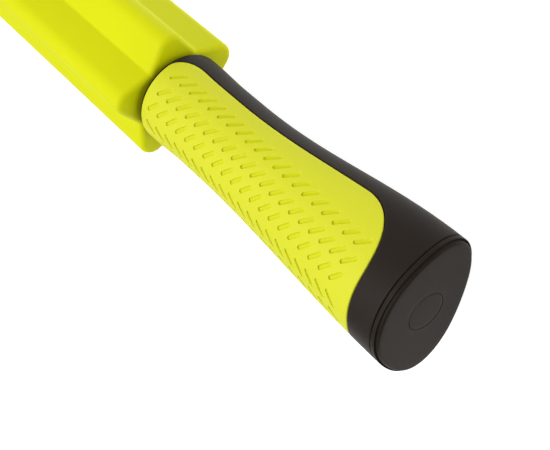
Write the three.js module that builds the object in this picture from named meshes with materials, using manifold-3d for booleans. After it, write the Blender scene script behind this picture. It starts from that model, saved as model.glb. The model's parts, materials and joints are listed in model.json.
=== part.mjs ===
// Massage roller bar: a fluted foam roller that spins on a steel shaft between two oval grips.
// Millimetres, +Z up. The bar lies along X on a flat surface at z = 0, centred on the origin.
import * as THREE from 'three';
import { mergeVertices } from 'three/addons/utils/BufferGeometryUtils.js';
import Module from 'manifold-3d';

const wasm = await Module();
wasm.setup();

// Driving dimensions.
const rollerLength = 200;
const crestRadius = 25;
const valleyRadius = 17.2;
const lobeCount = 5;
const lobeTipRadius = 5.5;
const rollerEdgeRadius = 2;
const tubeOuterRadius = 13;
const tubeWall = 2;
const shaftRadius = 7;
const shaftWall = 1.5;

const gripLength = 128;
const capHalfHeight = 18.1;
const capHalfWidth = 24.9;
const capRoundedTriangle = 0.06;
const waistRadius = 16.4;
const waistFromEnd = 32.5;
const shoulderRadius = 17;
const shoulderFromEnd = 4.5;
const shoulderFlare = 17;
const shoulderEdge = 2;

const capPlate = 2.8;
const capEdgeRadius = 1.4;
const capSkirtDepth = 8;
const capSkirtWall = 2;
const capBossWall = 3;
const mouthWall = 2.9;
const mouthDepth = 11;
const cavityWall = 4.6;
const cavityDepth = 72;
const sleeveWall = 3.2;
const ribThickness = 2;

const panelStart = 13.8;
const panelFromEnd = 1.5;
const panelHalfAngle = THREE.MathUtils.degToRad(86);
const panelThickness = 1.8;
const panelCapCorner = { length: 20, angle: THREE.MathUtils.degToRad(68) };
const panelRollerCorner = { length: 11, angle: THREE.MathUtils.degToRad(28) };

const plugRadius = 6.7;
const plugThickness = 1.8;
const screwRadius = 3;
const screwHeadRadius = 5;
const screwHeadHeight = 3.2;
const screwLength = 22;
const hexRadius = 2.9;
const hexDepth = 2;
const screwWasherRadius = 6;
const screwWasherThickness = 1.2;
const bossFloor = 2.2;
const insertLength = 24;

const thrustWasherThickness = 1.5;
const handleGap = 0.8;
const bushFlangeSetback = 1;
const bushFlangeThickness = 1.5;
const bushLength = 18;

// Clearances: between faces that touch, and between faces that run on each other.
const seat = 0.3;
const running = 0.4;

// How far a cutting shape runs past the faces that it opens, and how far joined shapes overlap.
const past = 1;
const overlap = 0.5;

const roundSegments = 28;
const gripSegments = 40;

// Places worked out from the sizes above. Inside a grip, "depth" is measured from the cap's face inwards.
const tubeInnerRadius = tubeOuterRadius - tubeWall;
const bushFlangeRadius = tubeOuterRadius - bushFlangeSetback;
const thrustWasherRadius = bushFlangeRadius;
const shaftBore = shaftRadius - shaftWall;
const sleeveRadius = shaftRadius + seat + sleeveWall;
const capBossRadius = plugRadius + seat + capBossWall;
const rollerHalf = rollerLength / 2;
const tubeHalf = rollerHalf - bushFlangeThickness - seat;
const halfLength = rollerHalf + handleGap + gripLength;
const waistPlace = gripLength - waistFromEnd;
const shoulderPlace = gripLength - shoulderFromEnd;
const panelEnd = gripLength - panelFromEnd;
const washerPocketDepth = gripLength + handleGap - running - thrustWasherThickness - seat;
const recessDepth = plugThickness + seat + screwHeadHeight + seat + screwWasherThickness + seat;
const shaftEndDepth = recessDepth + bossFloor + seat;

const smooth = (t) => (1 - Math.cos(Math.PI * Math.min(Math.max(t, 0), 1))) / 2;

// Half height and half width of the grip's oval section at a depth from the cap's face.
function gripHalfSizes(depth) {
  const toWaist = smooth(1 - depth / waistPlace);
  const rise = smooth((depth - shoulderPlace + shoulderFlare) / shoulderFlare);
  const flare = (shoulderRadius - waistRadius) * rise;
  const edge = Math.max(depth - (gripLength - shoulderEdge), 0);
  const rounding = shoulderEdge - Math.sqrt(shoulderEdge ** 2 - Math.min(edge, shoulderEdge) ** 2);
  return {
    height: waistRadius + (capHalfHeight - waistRadius) * toWaist + flare - rounding,
    width: waistRadius + (capHalfWidth - waistRadius) * toWaist + flare - rounding,
  };
}

// A point on the grip's surface, sunk below it by "inset". Towards the cap the oval section turns into
// a rounded triangle with a flat underside, for the fingers.
function gripPoint(depth, angle, inset) {
  const half = gripHalfSizes(depth);
  const bulge = 1 - capRoundedTriangle * smooth(1 - depth / waistPlace) * Math.sin(3 * angle);
  const across = (half.width - inset) * bulge * Math.cos(angle);
  const up = (half.height - inset) * bulge * Math.sin(angle);
  return new THREE.Vector3(-depth, across, up);
}

function gripRing(depth, inset) {
  const ring = [];
  for (let i = 0; i < gripSegments; i += 1) {
    ring.push(gripPoint(depth, (2 * Math.PI * i) / gripSegments, inset));
  }
  return ring;
}

// A closed geometry with shared vertices, no flat triangles, and its faces pointing out.
function closed(geometry) {
  geometry.deleteAttribute('normal');
  geometry.deleteAttribute('uv');
  const merged = mergeVertices(geometry, 1e-4);
  const place = merged.getAttribute('position');
  const index = merged.getIndex().array;
  const kept = [];
  const a = new THREE.Vector3();
  const b = new THREE.Vector3();
  const c = new THREE.Vector3();
  let volume = 0;
  for (let i = 0; i < index.length; i += 3) {
    const [p, q, r] = [index[i], index[i + 1], index[i + 2]];
    if (p !== q && q !== r && r !== p) {
      kept.push(p, q, r);
      a.fromBufferAttribute(place, p);
      b.fromBufferAttribute(place, q);
      c.fromBufferAttribute(place, r);
      volume += a.dot(b.cross(c));
    }
  }
  merged.setIndex(volume > 0 ? kept : kept.reverse());
  return merged;
}

// A solid through a row of sections with the same number of points, closed flat at both ends.
function loft(sections) {
  const count = sections[0].length;
  const points = sections.flat();
  const index = [];
  for (let s = 0; s + 1 < sections.length; s += 1) {
    for (let i = 0; i < count; i += 1) {
      const near = s * count + i;
      const next = s * count + ((i + 1) % count);
      index.push(near, next, next + count, near, next + count, near + count);
    }
  }
  for (const s of [0, sections.length - 1]) {
    const middle = sections[s].reduce((sum, point) => sum.add(point), new THREE.Vector3());
    points.push(middle.divideScalar(count));
    for (let i = 0; i < count; i += 1) {
      const near = s * count + i;
      const next = s * count + ((i + 1) % count);
      index.push(...(s === 0 ? [points.length - 1, next, near] : [points.length - 1, near, next]));
    }
  }
  const geometry = new THREE.BufferGeometry().setFromPoints(points);
  geometry.setIndex(index);
  return closed(geometry);
}

// A turned piece about X from [x, radius] corners; the outline closes on itself or on the axis.
function turned(corners, segments = roundSegments) {
  const outline = corners.map(([x, radius]) => new THREE.Vector2(radius, x));
  if (outline[0].x > 0) {
    outline.push(outline[0].clone());
  }
  const geometry = new THREE.LatheGeometry(outline, segments);
  geometry.rotateZ(-Math.PI / 2);
  return closed(geometry);
}

// A ring about X between two places, with its inner and outer radius.
const ring = (from, to, inner, outer) => turned([[from, inner], [from, outer], [to, outer], [to, inner]]);

// A solid rod about X between two places.
function rod(from, to, radius, segments) {
  return turned([[from, 0], [from, radius], [to, radius], [to, 0]], segments);
}

function toSolid(geometry) {
  const vertProperties = new Float32Array(geometry.getAttribute('position').array);
  const triVerts = new Uint32Array(geometry.getIndex().array);
  return new wasm.Manifold(new wasm.Mesh({ numProp: 3, vertProperties, triVerts }));
}

function toGeometry(solid) {
  const mesh = solid.getMesh();
  const geometry = new THREE.BufferGeometry();
  geometry.setAttribute('position', new THREE.BufferAttribute(new Float32Array(mesh.vertProperties), 3));
  geometry.setIndex(new THREE.BufferAttribute(new Uint32Array(mesh.triVerts), 1));
  return geometry;
}

const finishes = {
  limeFoam: new THREE.MeshStandardMaterial({ color: 0xd6de18, roughness: 0.75, metalness: 0 }),
  limeRubber: new THREE.MeshStandardMaterial({ color: 0xdfe63c, roughness: 0.6, metalness: 0 }),
  blackPlastic: new THREE.MeshStandardMaterial({ color: 0x2e2a27, roughness: 0.55, metalness: 0 }),
  whiteNylon: new THREE.MeshStandardMaterial({ color: 0xdedbd2, roughness: 0.5, metalness: 0 }),
  greyPlastic: new THREE.MeshStandardMaterial({ color: 0x55565a, roughness: 0.6, metalness: 0 }),
  steel: new THREE.MeshStandardMaterial({ color: 0xb4b6b8, roughness: 0.35, metalness: 1 }),
};

function piece(name, geometry, finish) {
  const flat = geometry.toNonIndexed();
  flat.computeVertexNormals();
  const mesh = new THREE.Mesh(flat, finishes[finish]);
  mesh.name = name;
  return mesh;
}

// Outline of the roller's section: rounded lobes with straight flanks that meet in sharp valleys.
function rollerOutline(inset) {
  const halfStep = Math.PI / lobeCount;
  const tip = lobeTipRadius - inset;
  const centre = crestRadius - lobeTipRadius;
  const flankDrop = inset / Math.sin(halfStep);
  const valley = new THREE.Vector2(Math.cos(halfStep), Math.sin(halfStep));
  valley.multiplyScalar(valleyRadius - flankDrop);
  const toValley = valley.clone().sub(new THREE.Vector2(centre, 0));
  const spread = toValley.angle() - Math.acos(tip / toValley.length());
  const arcSteps = 6;
  const outline = [];
  for (let lobe = 0; lobe < lobeCount; lobe += 1) {
    const turn = Math.PI / 2 + 2 * halfStep * lobe;
    for (let i = 0; i <= arcSteps; i += 1) {
      const angle = spread * ((2 * i) / arcSteps - 1);
      const point = new THREE.Vector2(centre + tip * Math.cos(angle), tip * Math.sin(angle));
      outline.push(point.rotateAround(new THREE.Vector2(), turn));
    }
    outline.push(valley.clone().rotateAround(new THREE.Vector2(), turn));
  }
  return outline;
}

const axisHeight = -Math.min(...rollerOutline(0).map((point) => point.y));

function foamSleeve() {
  const edgeSteps = 3;
  const sections = [];
  for (const side of [-1, 1]) {
    const end = [];
    for (let i = 0; i <= edgeSteps; i += 1) {
      const angle = (Math.PI / 2) * (i / edgeSteps);
      const inset = rollerEdgeRadius * (1 - Math.sin(angle));
      const x = side * (rollerHalf - rollerEdgeRadius * (1 - Math.cos(angle)));
      end.push(rollerOutline(inset).map((point) => new THREE.Vector3(x, point.x, point.y)));
    }
    sections.push(...(side < 0 ? end : end.reverse()));
  }
  const bore = rod(-rollerHalf - past, rollerHalf + past, tubeOuterRadius + seat);
  return toGeometry(toSolid(loft(sections)).subtract(toSolid(bore)));
}

// Half angle of the panel at a depth: full in the middle, drawn in by a rounded corner at each end.
function panelSpread(depth) {
  const drawnIn = (corner, distance) => {
    const t = Math.min(Math.max(1 - distance / corner.length, 0), 1);
    return corner.angle * (1 - Math.sqrt(1 - t * t));
  };
  return panelHalfAngle - drawnIn(panelCapCorner, depth - panelStart)
    - drawnIn(panelRollerCorner, panelEnd - depth);
}

// A curved slab on the top half of the grip, from "low" below its surface to "high", grown by "grow".
function panelSlab(low, high, grow) {
  const rows = 16;
  const columns = 14;
  const layers = [];
  for (const inset of [low, high]) {
    const layer = [];
    for (let r = 0; r <= rows; r += 1) {
      const share = smooth(r / rows);
      const depth = panelStart + (panelEnd - panelStart) * share;
      const grown = depth + grow * (2 * share - 1);
      const spread = panelSpread(depth) + grow / waistRadius;
      for (let c = 0; c <= columns; c += 1) {
        layer.push(gripPoint(grown, Math.PI / 2 + spread * ((2 * c) / columns - 1), inset));
      }
    }
    layers.push(layer);
  }
  const width = columns + 1;
  const size = (rows + 1) * width;
  const index = [];
  const quad = (a, b, c, d) => index.push(a, b, c, a, c, d);
  for (let r = 0; r < rows; r += 1) {
    for (let c = 0; c < columns; c += 1) {
      const k = r * width + c;
      quad(k, k + 1, k + 1 + width, k + width);
      quad(size + k, size + k + width, size + k + 1 + width, size + k + 1);
    }
  }
  for (let r = 0; r < rows; r += 1) {
    const first = r * width;
    const last = first + columns;
    quad(first, first + width, size + first + width, size + first);
    quad(last, size + last, size + last + width, last + width);
  }
  for (let c = 0; c < columns; c += 1) {
    const k = rows * width + c;
    quad(c, size + c, size + c + 1, c + 1);
    quad(k, k + 1, size + k + 1, size + k);
  }
  const geometry = new THREE.BufferGeometry().setFromPoints(layers.flat());
  geometry.setIndex(index);
  return closed(geometry);
}

// A straight run of the grip's section between two depths, sunk by "inset".
function gripBlock(from, to, inset) {
  const steps = 4;
  const sections = [];
  for (let i = 0; i <= steps; i += 1) {
    sections.push(gripRing(from + ((to - from) * i) / steps, inset));
  }
  return loft(sections);
}

function handleCore() {
  const start = capPlate + seat;
  const sections = [];
  const bodySteps = 13;
  const edgeStart = gripLength - shoulderEdge;
  for (let i = 0; i <= bodySteps; i += 1) {
    sections.push(gripRing(start + ((edgeStart - start) * i) / bodySteps, 0));
  }
  for (const share of [0.5, 0.85, 1]) {
    sections.push(gripRing(edgeStart + shoulderEdge * share, 0));
  }
  const mouthEnd = start + mouthDepth;
  let hollow = toSolid(gripBlock(start - past, mouthEnd, mouthWall));
  hollow = hollow.add(toSolid(gripBlock(mouthEnd - past, cavityDepth, cavityWall)));
  hollow = hollow.subtract(toSolid(rod(-cavityDepth - past, -shaftEndDepth, sleeveRadius)));
  const ribWidth = 4 * capHalfWidth;
  const tall = new THREE.BoxGeometry(cavityDepth, ribThickness, ribWidth);
  tall.translate(-mouthEnd - cavityDepth / 2, 0, 0);
  const wide = new THREE.BoxGeometry(cavityDepth, ribWidth, ribThickness);
  wide.translate(-mouthEnd - cavityDepth / 2, 0, 0);
  hollow = hollow.subtract(toSolid(closed(tall)).add(toSolid(closed(wide))));
  let solid = toSolid(loft(sections)).subtract(hollow);
  solid = solid.subtract(toSolid(panelSlab(panelThickness + seat, -past, seat)));
  solid = solid.subtract(toSolid(rod(-gripLength - past, -washerPocketDepth, thrustWasherRadius + seat)));
  solid = solid.subtract(toSolid(rod(-gripLength - past, 0, shaftRadius + seat)));
  return toGeometry(solid);
}

function endCap() {
  const edgeSteps = 4;
  const sections = [];
  for (let i = 0; i <= edgeSteps; i += 1) {
    const angle = (Math.PI / 2) * (i / edgeSteps);
    const depth = capEdgeRadius * (1 - Math.sin(angle));
    sections.push(gripRing(depth, capEdgeRadius * (1 - Math.cos(angle))));
  }
  sections.unshift(gripRing(capPlate, 0));
  const skirtInset = mouthWall + seat;
  const skirtEnd = capPlate + capSkirtDepth;
  let solid = toSolid(loft(sections));
  const skirt = toSolid(gripBlock(capPlate - overlap, skirtEnd, skirtInset));
  const hollow = toSolid(gripBlock(capPlate, skirtEnd + past, skirtInset + capSkirtWall));
  solid = solid.add(skirt.subtract(hollow));
  solid = solid.add(toSolid(rod(-recessDepth - bossFloor, -capPlate + overlap, capBossRadius)));
  solid = solid.subtract(toSolid(rod(-recessDepth, past, plugRadius + seat)));
  solid = solid.subtract(toSolid(rod(-shaftEndDepth, past, screwRadius + seat)));
  return toGeometry(solid);
}

function capPlug() {
  const chamfer = 0.3;
  return turned([
    [-plugThickness, 0],
    [-plugThickness, plugRadius],
    [-chamfer, plugRadius],
    [0, plugRadius - chamfer],
    [0, 0],
  ]);
}

function endScrew() {
  const top = -plugThickness - seat;
  const bearing = top - screwHeadHeight;
  const chamfer = 0.5;
  const body = turned([
    [bearing - screwLength, 0],
    [bearing - screwLength, screwRadius - chamfer],
    [bearing - screwLength + chamfer, screwRadius],
    [bearing, screwRadius],
    [bearing, screwHeadRadius],
    [top - chamfer, screwHeadRadius],
    [top, screwHeadRadius - chamfer],
    [top, 0],
  ], 24);
  const socket = rod(top - hexDepth, top + past, hexRadius, 6);
  return toGeometry(toSolid(body).subtract(toSolid(socket)));
}

function screwWasher() {
  const outer = -plugThickness - seat - screwHeadHeight - seat;
  return ring(outer - screwWasherThickness, outer, screwRadius + seat, screwWasherRadius);
}

const shaftInsert = () => ring(
  -shaftEndDepth - seat - insertLength,
  -shaftEndDepth - seat,
  screwRadius + seat,
  shaftBore - seat,
);

// The washer lies in a pocket of the grip's inner face and stands out of it towards the roller.
const thrustWasher = () => ring(
  -washerPocketDepth - seat - thrustWasherThickness,
  -washerPocketDepth - seat,
  shaftRadius + seat,
  thrustWasherRadius,
);

// A flanged bush: its flange fills the sleeve's bore at the roller's end, its barrel is in the core tube.
const bushing = () => turned([
  [rollerHalf - bushLength, shaftRadius + seat],
  [rollerHalf - bushLength, tubeInnerRadius - seat],
  [rollerHalf - bushFlangeThickness, tubeInnerRadius - seat],
  [rollerHalf - bushFlangeThickness, bushFlangeRadius],
  [rollerHalf, bushFlangeRadius],
  [rollerHalf, shaftRadius + seat],
]);

const model = new THREE.Group();

const roller = new THREE.Group();
roller.position.z = axisHeight;
roller.add(piece('foam_sleeve', foamSleeve(), 'limeFoam'));
roller.add(piece('core_tube', ring(-tubeHalf, tubeHalf, tubeInnerRadius, tubeOuterRadius), 'greyPlastic'));
model.add(roller);

const shaftHalf = halfLength - shaftEndDepth;
const shaft = piece('shaft', ring(-shaftHalf, shaftHalf, shaftBore, shaftRadius), 'steel');
shaft.position.z = axisHeight;
model.add(shaft);

for (const [side, turn] of [['right', 0], ['left', Math.PI]]) {
  const bush = piece(`bushing_${side}`, bushing(), 'whiteNylon');
  bush.rotation.z = turn;
  roller.add(bush);

  const handle = new THREE.Group();
  handle.position.set(halfLength * Math.cos(turn), 0, axisHeight);
  handle.rotation.z = turn;
  handle.add(piece(`thrust_washer_${side}`, thrustWasher(), 'whiteNylon'));
  handle.add(piece(`handle_core_${side}`, handleCore(), 'blackPlastic'));
  handle.add(piece(`grip_panel_${side}`, panelSlab(panelThickness, 0, 0), 'limeRubber'));
  handle.add(piece(`end_cap_${side}`, endCap(), 'blackPlastic'));
  handle.add(piece(`cap_plug_${side}`, capPlug(), 'blackPlastic'));
  handle.add(piece(`screw_washer_${side}`, screwWasher(), 'steel'));
  handle.add(piece(`end_screw_${side}`, endScrew(), 'steel'));
  handle.add(piece(`shaft_insert_${side}`, shaftInsert(), 'steel'));
  model.add(handle);
}

export default model;
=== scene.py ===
# %% [markdown]
# # A massage roller bar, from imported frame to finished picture
#
# The real object is a fluted foam roller that turns on a steel shaft, with a moulded grip at each end.
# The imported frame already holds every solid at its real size. This lesson gives each one its fine
# surface and its finish, one kind of piece at a time, and never moves a solid of the frame.

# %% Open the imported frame
import json
import math

import bmesh
import bpy
import numpy as np
from mathutils import Matrix, Vector


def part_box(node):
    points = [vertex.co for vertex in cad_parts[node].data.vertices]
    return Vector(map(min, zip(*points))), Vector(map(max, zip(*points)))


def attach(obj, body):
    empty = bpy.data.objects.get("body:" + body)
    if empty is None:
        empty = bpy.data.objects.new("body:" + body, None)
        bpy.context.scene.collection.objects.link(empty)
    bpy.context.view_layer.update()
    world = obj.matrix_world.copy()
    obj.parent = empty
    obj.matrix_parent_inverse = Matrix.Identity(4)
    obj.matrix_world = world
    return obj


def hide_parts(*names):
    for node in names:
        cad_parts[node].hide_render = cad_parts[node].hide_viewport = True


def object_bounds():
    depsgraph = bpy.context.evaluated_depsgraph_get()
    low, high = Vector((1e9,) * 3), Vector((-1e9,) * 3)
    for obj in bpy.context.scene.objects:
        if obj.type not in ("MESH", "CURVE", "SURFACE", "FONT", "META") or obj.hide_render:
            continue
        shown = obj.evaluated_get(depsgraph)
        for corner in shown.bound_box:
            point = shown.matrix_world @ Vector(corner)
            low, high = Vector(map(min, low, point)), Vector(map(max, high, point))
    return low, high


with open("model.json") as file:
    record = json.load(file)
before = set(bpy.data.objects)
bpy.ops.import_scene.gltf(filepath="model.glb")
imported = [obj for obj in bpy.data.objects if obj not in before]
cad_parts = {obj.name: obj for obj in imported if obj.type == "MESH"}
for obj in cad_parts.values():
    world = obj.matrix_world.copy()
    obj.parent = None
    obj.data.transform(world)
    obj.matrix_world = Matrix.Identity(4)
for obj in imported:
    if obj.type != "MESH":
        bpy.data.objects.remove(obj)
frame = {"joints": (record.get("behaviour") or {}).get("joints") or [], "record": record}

cad_low, cad_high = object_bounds()

# %% [markdown]
# ## Sizes that come from the frame
#
# A maker measures the neighbours before cutting a new piece. Every length here is in millimetres,
# because that is how such a product is drawn, and it is turned into metres only when a mesh is made.
# The bar lies along X, so most sizes are places on X or distances from the roller's axis.

# %% Measure the frame in millimetres
MM = 0.001
FULL_TURN = 2 * math.pi


def measured(node):
    low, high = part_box(node)
    return low / MM, high / MM


spin_joint = next(joint for joint in frame["joints"] if joint["name"] == "roller_spin")
axis_height = spin_joint["pos_m"][2] / MM
half_length = cad_high.x / MM
roller_half = measured("foam_sleeve")[1].x
crest_radius = measured("foam_sleeve")[1].z - axis_height
print(f"bar {2 * half_length:.1f} mm long, axis {axis_height:.2f} mm up, crests {crest_radius:.1f} mm out")

# %% Places along a grip, measured from its cap's face inwards
panel_low, panel_high = measured("grip_panel_right")
panel_start = half_length - panel_high.x
panel_end = half_length - panel_low.x
core_low, core_high = measured("handle_core_right")
core_start = half_length - core_high.x
grip_length = half_length - core_low.x
seat = 0.3  # the clearance left all round wherever one piece sits in another
print(f"grip {grip_length:.1f} mm, panel from {panel_start:.1f} to {panel_end:.1f} mm")

# %% [markdown]
# ## From rows of points to a closed mesh
#
# Nearly every piece here is a row of closed loops of points with the same count, joined by quads: a
# lathe does the same with circles. Modelling that way in code keeps the quads even, which a remesh or
# a subdivided box would not, and a loop can be placed exactly where a rounded edge starts.
# A loop of radius zero closes a solid on its axis, because points that meet are merged.

# %% Helpers that join loops into faces
SHARP_ANGLE = math.radians(35)
MERGE_DISTANCE = 1e-7


def join_loops(loops, ring=False):
    """Points and quads through a list of closed loops; a ring also joins the last loop to the first."""
    count = len(loops[0])
    rows = len(loops)
    faces = []
    for row in range(rows if ring else rows - 1):
        near = row * count
        far = ((row + 1) % rows) * count
        for i in range(count):
            j = (i + 1) % count
            faces.append((near + i, near + j, far + j, far + i))
    return np.vstack(loops), faces


def combined(*parts):
    """Several (points, faces) as one."""
    points, faces, offset = [], [], 0
    for part_points, part_faces in parts:
        points.append(part_points)
        faces += [tuple(index + offset for index in face) for face in part_faces]
        offset += len(part_points)
    return np.vstack(points), faces


# %% [markdown]
# ## Where is an edge?
#
# Handling rubs a moulding on its edges first. A shader can only wear an edge that it can find, so each
# mesh gets an attribute that says how tightly its surface bends outwards at each point. It is measured
# from the mesh itself: two neighbouring normals that spread apart over a short distance are an edge.

# %% Measure the edges of a mesh
TIGHTEST_EDGE = 1400.0  # a bend as tight as one over this many metres counts as a full edge


def write_edges(mesh):
    places = np.empty(len(mesh.vertices) * 3, np.float32)
    mesh.vertices.foreach_get("co", places)
    places = places.reshape(-1, 3)
    normals = np.empty_like(places).ravel()
    mesh.vertices.foreach_get("normal", normals)
    normals = normals.reshape(-1, 3)
    pairs = np.empty(len(mesh.edges) * 2, np.int32)
    mesh.edges.foreach_get("vertices", pairs)
    pairs = pairs.reshape(-1, 2)
    gap = places[pairs[:, 0]] - places[pairs[:, 1]]
    spread = ((normals[pairs[:, 0]] - normals[pairs[:, 1]]) * gap).sum(axis=1)
    bend = spread / np.maximum((gap**2).sum(axis=1), 1e-12)
    total = np.zeros(len(places))
    shared = np.zeros(len(places))
    for end in (0, 1):
        np.add.at(total, pairs[:, end], bend)
        np.add.at(shared, pairs[:, end], 1)
    edge = np.clip(total / np.maximum(shared, 1) / TIGHTEST_EDGE, 0, 1)
    attribute = mesh.attributes.new("edge", "FLOAT", "POINT")
    attribute.data.foreach_set("value", edge.astype(np.float32))


# %% Make a piece that stands for a node of the frame
def clean_mesh(mesh):
    """Merges doubled points, turns faces outwards, and keeps only real corners sharp."""
    work = bmesh.new()
    work.from_mesh(mesh)
    bmesh.ops.remove_doubles(work, verts=work.verts, dist=MERGE_DISTANCE)
    bmesh.ops.recalc_face_normals(work, faces=work.faces)
    for face in work.faces:
        face.smooth = True
    for edge in work.edges:
        edge.smooth = edge.is_manifold and edge.calc_face_angle() < SHARP_ANGLE
    work.to_mesh(mesh)
    work.free()
    mesh.update()


def mesh_from(name, points, faces):
    mesh = bpy.data.meshes.new(name)
    mesh.from_pydata((np.asarray(points) * MM).tolist(), [], faces)
    clean_mesh(mesh)
    return mesh


def body_of_node(node):
    groups = frame["record"]["behaviour"]["bodies"]
    return next(body for body, nodes in groups.items() if node in nodes)


def stand_for(node, mesh, material, left=False):
    """Shows a mesh in place of a node. The left grip is the right one turned half round."""
    if left:
        mesh = mesh.copy()
        mesh.transform(Matrix.Rotation(math.pi, 4, "Z"))
    if "edge" not in mesh.attributes:
        write_edges(mesh)
    mesh.materials.clear()
    mesh.materials.append(material)
    piece = bpy.data.objects.new("fine_" + node, mesh)
    bpy.context.scene.collection.objects.link(piece)
    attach(piece, body_of_node(node))
    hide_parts(node)
    print(f"{piece.name}: {len(mesh.vertices)} points, {len(mesh.polygons)} faces")
    return piece


# %% [markdown]
# ## Effects that several finishes share
#
# A real moulding is never one even colour. Its skin has a fine grain from the tool, its tone drifts a
# little over a hand's width, and its edges rub lighter. Each effect is a node group, so it is built
# once and every finish sets its own numbers. The groups put out values only, and the shader that uses
# them stays in the material.

# %% Build node groups from a short description
def new_group(name, inputs, outputs):
    """A shader node group with named sockets; returns its tree with its input and output nodes."""
    tree = bpy.data.node_groups.new(name, "ShaderNodeTree")
    for socket, default in inputs:
        made = tree.interface.new_socket(socket, in_out="INPUT", socket_type="NodeSocketFloat")
        made.default_value = default
    for socket in outputs:
        tree.interface.new_socket(socket, in_out="OUTPUT", socket_type="NodeSocketFloat")
    return tree, tree.nodes.new("NodeGroupInput"), tree.nodes.new("NodeGroupOutput")


def add_node(tree, kind, settings=None, **links):
    """A node with its settings, and sockets that are linked or set; names use _ for a space."""
    node = tree.nodes.new(kind)
    for key, value in (settings or {}).items():
        setattr(node, key, value)
    for key, value in links.items():
        socket = node.inputs[int(key[1:])] if key[1:].isdigit() else node.inputs[key.replace("_", " ")]
        if isinstance(value, bpy.types.NodeSocket):
            tree.links.new(value, socket)
        else:
            socket.default_value = value
    return node


def math_node(tree, operation, first, second=0.0, clamp=False):
    settings = {"operation": operation, "use_clamp": clamp}
    return add_node(tree, "ShaderNodeMath", settings, _0=first, _1=second).outputs[0]


def mixed_colour(tree, amount, first, second):
    """One colour into another. A Mix node's colours are its inputs 6 and 7, and its output 2."""
    first, second = [
        colour if isinstance(colour, bpy.types.NodeSocket) else (*colour, 1) for colour in (first, second)
    ]
    settings = {"data_type": "RGBA"}
    return add_node(tree, "ShaderNodeMix", settings, _0=amount, _6=first, _7=second).outputs[2]


# %% Moulded grain: fine bumps, and a slower drift of tone
def make_grain_group():
    coarse_share = 0.31
    inputs = [("Grain Size", 900.0), ("Drift Size", 18.0), ("Stretch", 1.0)]
    tree, given, result = new_group("moulded_grain", inputs, ["Height", "Grain", "Drift"])
    place = add_node(tree, "ShaderNodeTexCoord").outputs["Object"]
    along = add_node(tree, "ShaderNodeCombineXYZ", X=given.outputs["Stretch"], Y=1.0, Z=1.0).outputs[0]
    settings = {"operation": "MULTIPLY"}
    stretched = add_node(tree, "ShaderNodeVectorMath", settings, _0=place, _1=along).outputs[0]
    size = given.outputs["Grain Size"]
    fine = add_node(tree, "ShaderNodeTexNoise", Vector=stretched, Scale=size, Detail=3.0)
    coarse_size = math_node(tree, "MULTIPLY", size, coarse_share)
    coarse = add_node(tree, "ShaderNodeTexNoise", Vector=stretched, Scale=coarse_size, Detail=2.0)
    drift_size = given.outputs["Drift Size"]
    drift = add_node(tree, "ShaderNodeTexNoise", Vector=place, Scale=drift_size, Detail=3.0)
    height = math_node(tree, "ADD", fine.outputs["Fac"], coarse.outputs["Fac"])
    tree.links.new(math_node(tree, "MULTIPLY", height, 0.5), result.inputs["Height"])
    tree.links.new(fine.outputs["Fac"], result.inputs["Grain"])
    tree.links.new(drift.outputs["Fac"], result.inputs["Drift"])
    return tree


grain_group = make_grain_group()
print("node group:", grain_group.name)


# %% Rubbed edges: the edge attribute, broken up so that it doesn't look drawn on
def make_edge_group():
    inputs = [("Amount", 0.5), ("Patch Size", 140.0)]
    tree, given, result = new_group("rubbed_edges", inputs, ["Mask"])
    place = add_node(tree, "ShaderNodeTexCoord").outputs["Object"]
    settings = {"attribute_name": "edge"}
    edge = add_node(tree, "ShaderNodeAttribute", settings).outputs["Fac"]
    patch_size = given.outputs["Patch Size"]
    patches = add_node(tree, "ShaderNodeTexNoise", Vector=place, Scale=patch_size, Detail=4.0)
    patchy = add_node(tree, "ShaderNodeMapRange", Value=patches.outputs["Fac"])
    patchy.inputs["From Min"].default_value = 0.35
    patchy.inputs["From Max"].default_value = 0.65
    worn = math_node(tree, "MULTIPLY", edge, patchy.outputs["Result"])
    tree.links.new(math_node(tree, "MULTIPLY", worn, given.outputs["Amount"], True), result.inputs["Mask"])
    return tree


edge_group = make_edge_group()
print("node group:", edge_group.name)
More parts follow.
